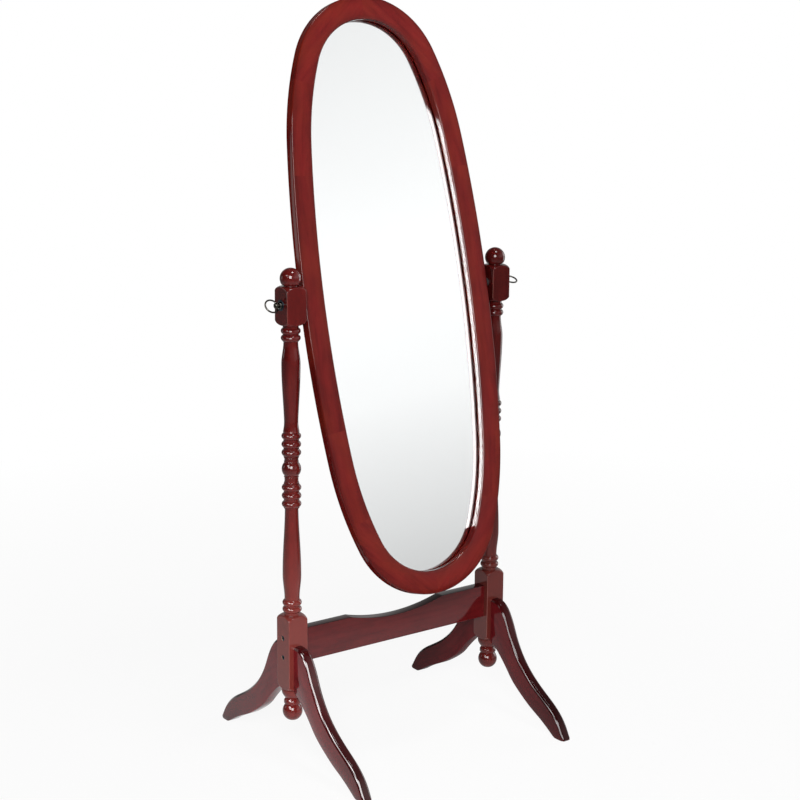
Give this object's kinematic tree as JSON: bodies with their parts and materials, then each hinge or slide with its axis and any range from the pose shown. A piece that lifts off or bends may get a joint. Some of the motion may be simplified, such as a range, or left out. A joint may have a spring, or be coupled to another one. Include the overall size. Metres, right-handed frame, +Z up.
{
  "type": "cheval floor mirror",
  "caption": "Free-standing oval mirror in a lacquered wooden frame that tilts between turned posts on curved splayed legs, held by ring-headed clamp screws.",
  "frame": {"origin": "on the floor, midway between the posts", "axes": "+Z up, the mirror faces -Y, +X to the right for someone looking into the mirror; the tilt axis runs along X"},
  "size_m": [0.6308, 0.529, 1.5255],
  "materials": {
    "stand_lacquer": "clear gloss lacquer over cherry stain",
    "frame_lacquer": "clear gloss lacquer over cherry stain",
    "dowel_wood": "plain beech",
    "dark_steel": "blackened steel",
    "nickel": "darkened nickel plate",
    "zinc_steel": "zinc plate",
    "insert_brass": "turned brass",
    "mirror_glass": "polished, silvered behind",
    "back_board": "brown hardboard",
    "spacer_nylon": "black nylon"
  },
  "bodies": {
    "stand": {"left_post": "stand_lacquer", "right_post": "stand_lacquer", "cross_rail": "stand_lacquer", "front_left_leg": "stand_lacquer", "rear_left_leg": "stand_lacquer", "front_right_leg": "stand_lacquer", "rear_right_leg": "stand_lacquer", "left_leg_dowels": "dowel_wood", "right_leg_dowels": "dowel_wood", "left_rail_bolts": "dark_steel", "right_rail_bolts": "dark_steel", "left_cross_nuts": "zinc_steel", "right_cross_nuts": "zinc_steel", "left_spacer": "spacer_nylon", "right_spacer": "spacer_nylon"},
    "mirror": {"frame_left_side": "frame_lacquer", "frame_right_side": "frame_lacquer", "frame_upper_left_shoulder": "frame_lacquer", "frame_upper_right_shoulder": "frame_lacquer", "frame_lower_left_shoulder": "frame_lacquer", "frame_lower_right_shoulder": "frame_lacquer", "frame_top_left_end": "frame_lacquer", "frame_top_right_end": "frame_lacquer", "frame_bottom_left_end": "frame_lacquer", "frame_bottom_right_end": "frame_lacquer", "mirror_glass": "mirror_glass", "back_board": "back_board", "back_board_screws": "zinc_steel", "left_threaded_insert": "insert_brass", "right_threaded_insert": "insert_brass"},
    "left_washer": {"left_clamp_washer": "dark_steel"},
    "left_screw": {"left_clamp_screw": "nickel", "left_thumb_ring": "nickel"},
    "right_washer": {"right_clamp_washer": "dark_steel"},
    "right_screw": {"right_clamp_screw": "nickel", "right_thumb_ring": "nickel"}
  },
  "joints": [
    {"name": "mirror_tilt", "type": "hinge", "parent": "stand", "child": "mirror", "pos_m": [0, 0, 0.94], "axis": [1, 0, 0], "continuous": true},
    {"name": "left_clamp_travel", "type": "slide", "parent": "stand", "child": "left_washer", "axis": [-1, 0, 0], "range_m": [0, 0.003]},
    {"name": "left_clamp_turn", "type": "hinge", "parent": "left_washer", "child": "left_screw", "pos_m": [-0.279, 0, 0.94], "axis": [-1, 0, 0], "range_deg": [0, 1080]},
    {"name": "right_clamp_travel", "type": "slide", "parent": "stand", "child": "right_washer", "axis": [1, 0, 0], "range_m": [0, 0.003]},
    {"name": "right_clamp_turn", "type": "hinge", "parent": "right_washer", "child": "right_screw", "pos_m": [0.279, 0, 0.94], "axis": [1, 0, 0], "range_deg": [0, 1080]}
  ],
  "couplings": [
    {"joint": "left_clamp_travel", "follows": "left_clamp_turn", "m_per_rad": 0.00015915},
    {"joint": "right_clamp_travel", "follows": "right_clamp_turn", "m_per_rad": 0.00015915}
  ]
}
